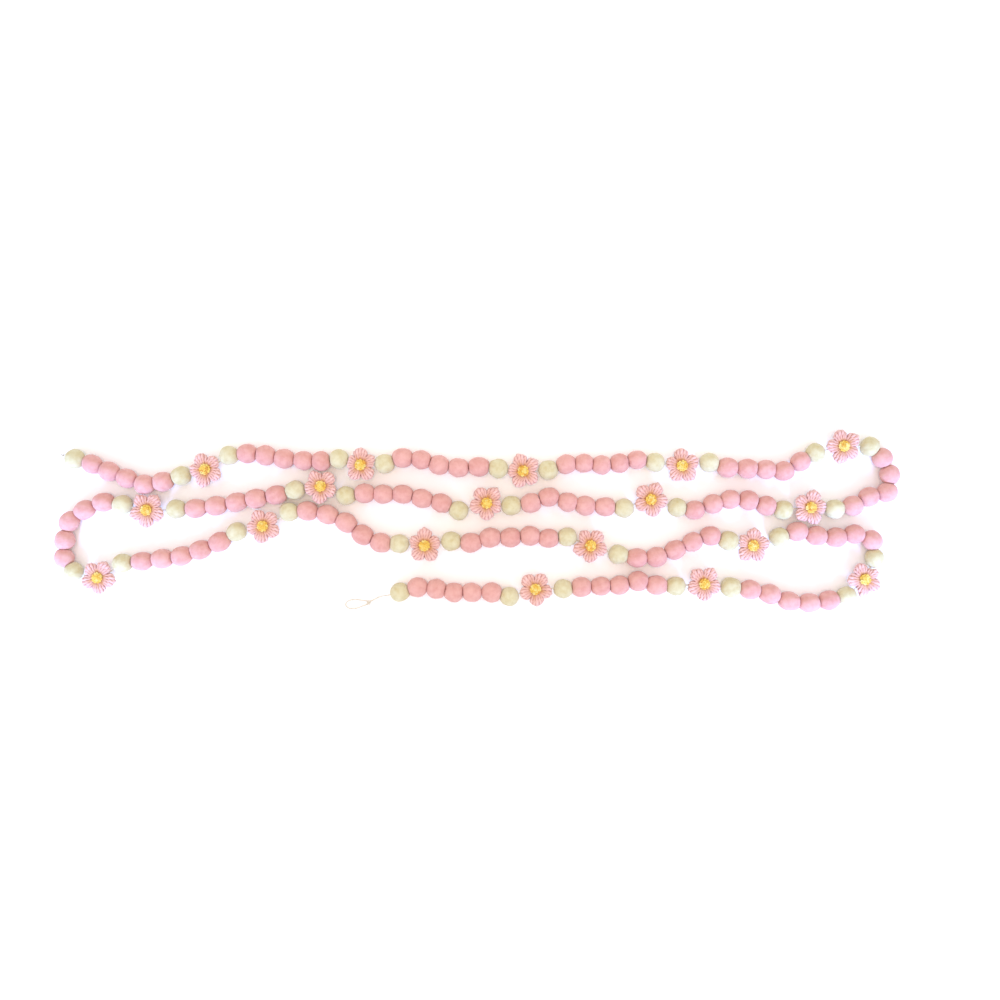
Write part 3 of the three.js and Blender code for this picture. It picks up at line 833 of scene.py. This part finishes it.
# The string's tail with its tied loop
last_ball = balls[-1]["middle"]
leaving = last_ball - balls[-2]["middle"]
leaving /= np.linalg.norm(leaving)
tail_exit = last_ball + leaving * (balls[-1]["radius"] - TAIL_INSET)
tail_line = smooth_line(np.vstack([tail_exit, TAIL]), STRING_STEP)
tail = yarn_piece("string_tail_loop", [
    {"points": tail_line, "girth": 1.0, "along": STRING_ALONG, "tone": 0.0}], plied_yarn, cotton, STRING_TWIST)
tail_knot = yarn_piece(
    "string_tail_knot", [tied_knot(TAIL_KNOT, TAIL_KNOT_TURN)], plied_yarn, cotton, STRING_TWIST, closed=True)
for piece in (tail, tail_knot):
    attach(piece, "root")
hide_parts("string_tail")

# The knot at the start of the string
low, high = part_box("string_knot")
start_line = tied_knot((low + high) / 2, START_KNOT_TURN)
start_knot = yarn_piece("string_start_knot", [start_line], plied_yarn, cotton, STRING_TWIST, closed=True)
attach(start_knot, "root")
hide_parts("string_knot")

# The balls, a piece for each node
skin = cube_skin(BALL_FACETS)
for number, node in enumerate(sorted({ball["node"] for ball in balls})):
    group = [index for index, ball in enumerate(balls) if ball["node"] == node]
    is_pink = node.startswith("pink")
    felt = pink_felt if is_pink else cream_felt
    piece = felt_piece(f"felt_{node}", group, balls, skin, felting, felt, number)
    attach(piece, "root")
    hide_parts(node)

# The string behind the flowers
stretches = []
for index, flower in enumerate(flowers):
    before = balls[index * BALLS_PER_RUN + BALLS_PER_RUN - 1]["middle"]
    after = balls[(index + 1) * BALLS_PER_RUN]["middle"]
    behind = np.array([*flower["middle"], (before[2] + after[2]) / 2])
    stretches.append({
        "points": smooth_line([before, behind, after], STRETCH_STEP),
        "girth": 1.0,
        "along": STRING_ALONG,
        "tone": RNG.uniform(-1, 1),
    })
string = yarn_piece("string_behind_flowers", stretches, plied_yarn, cotton, STRING_TWIST)
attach(string, "root")

# The flowers
for number, flower in enumerate(flowers, 1):
    strands = petal_strands(flower)
    petals = yarn_piece(f"flower_petals_{number:02d}", strands, plied_yarn, petal_yarn, PETAL_TWIST)
    knots = eye_knots(flower)
    eye = yarn_piece(f"flower_eye_{number:02d}", knots, plied_yarn, eye_yarn, EYE_TWIST)
    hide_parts(f"flower_{number:02d}")
    for piece, finish in ((petals, "petal_yarn"), (eye, "eye_yarn")):
        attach(piece, "root")

# The floor
corners = [(x * FLOOR_HALF, y * FLOOR_HALF, 0.0) for x, y in ((-1, -1), (1, -1), (1, 1), (-1, 1))]
floor = new_object("floor", corners, faces=[(0, 1, 2, 3)])
floor.data.materials.append(board)

# Soft studio light
scene = bpy.context.scene
scene.view_settings.view_transform = "Standard"
world = bpy.data.worlds.new("studio")
world.use_nodes = True
sky = world.node_tree.nodes["Background"].inputs
sky["Color"].default_value = srgb(SKY_COLOUR)
sky["Strength"].default_value = SKY_STRENGTH
scene.world = world
for name, place, aim, size, power, spread, colour in LIGHTS:
    data = bpy.data.lights.new(name, "AREA")
    data.size = size
    data.energy = power
    data.spread = math.radians(spread)
    data.color = srgb(colour)[:3]
    lamp = bpy.data.objects.new(name, data)
    lamp.location = place
    direction = np.array(aim) - np.array(place)
    lamp.rotation_mode = "QUATERNION"
    lamp.rotation_quaternion = Vector(direction).to_track_quat("-Z", "Y")
    scene.collection.objects.link(lamp)
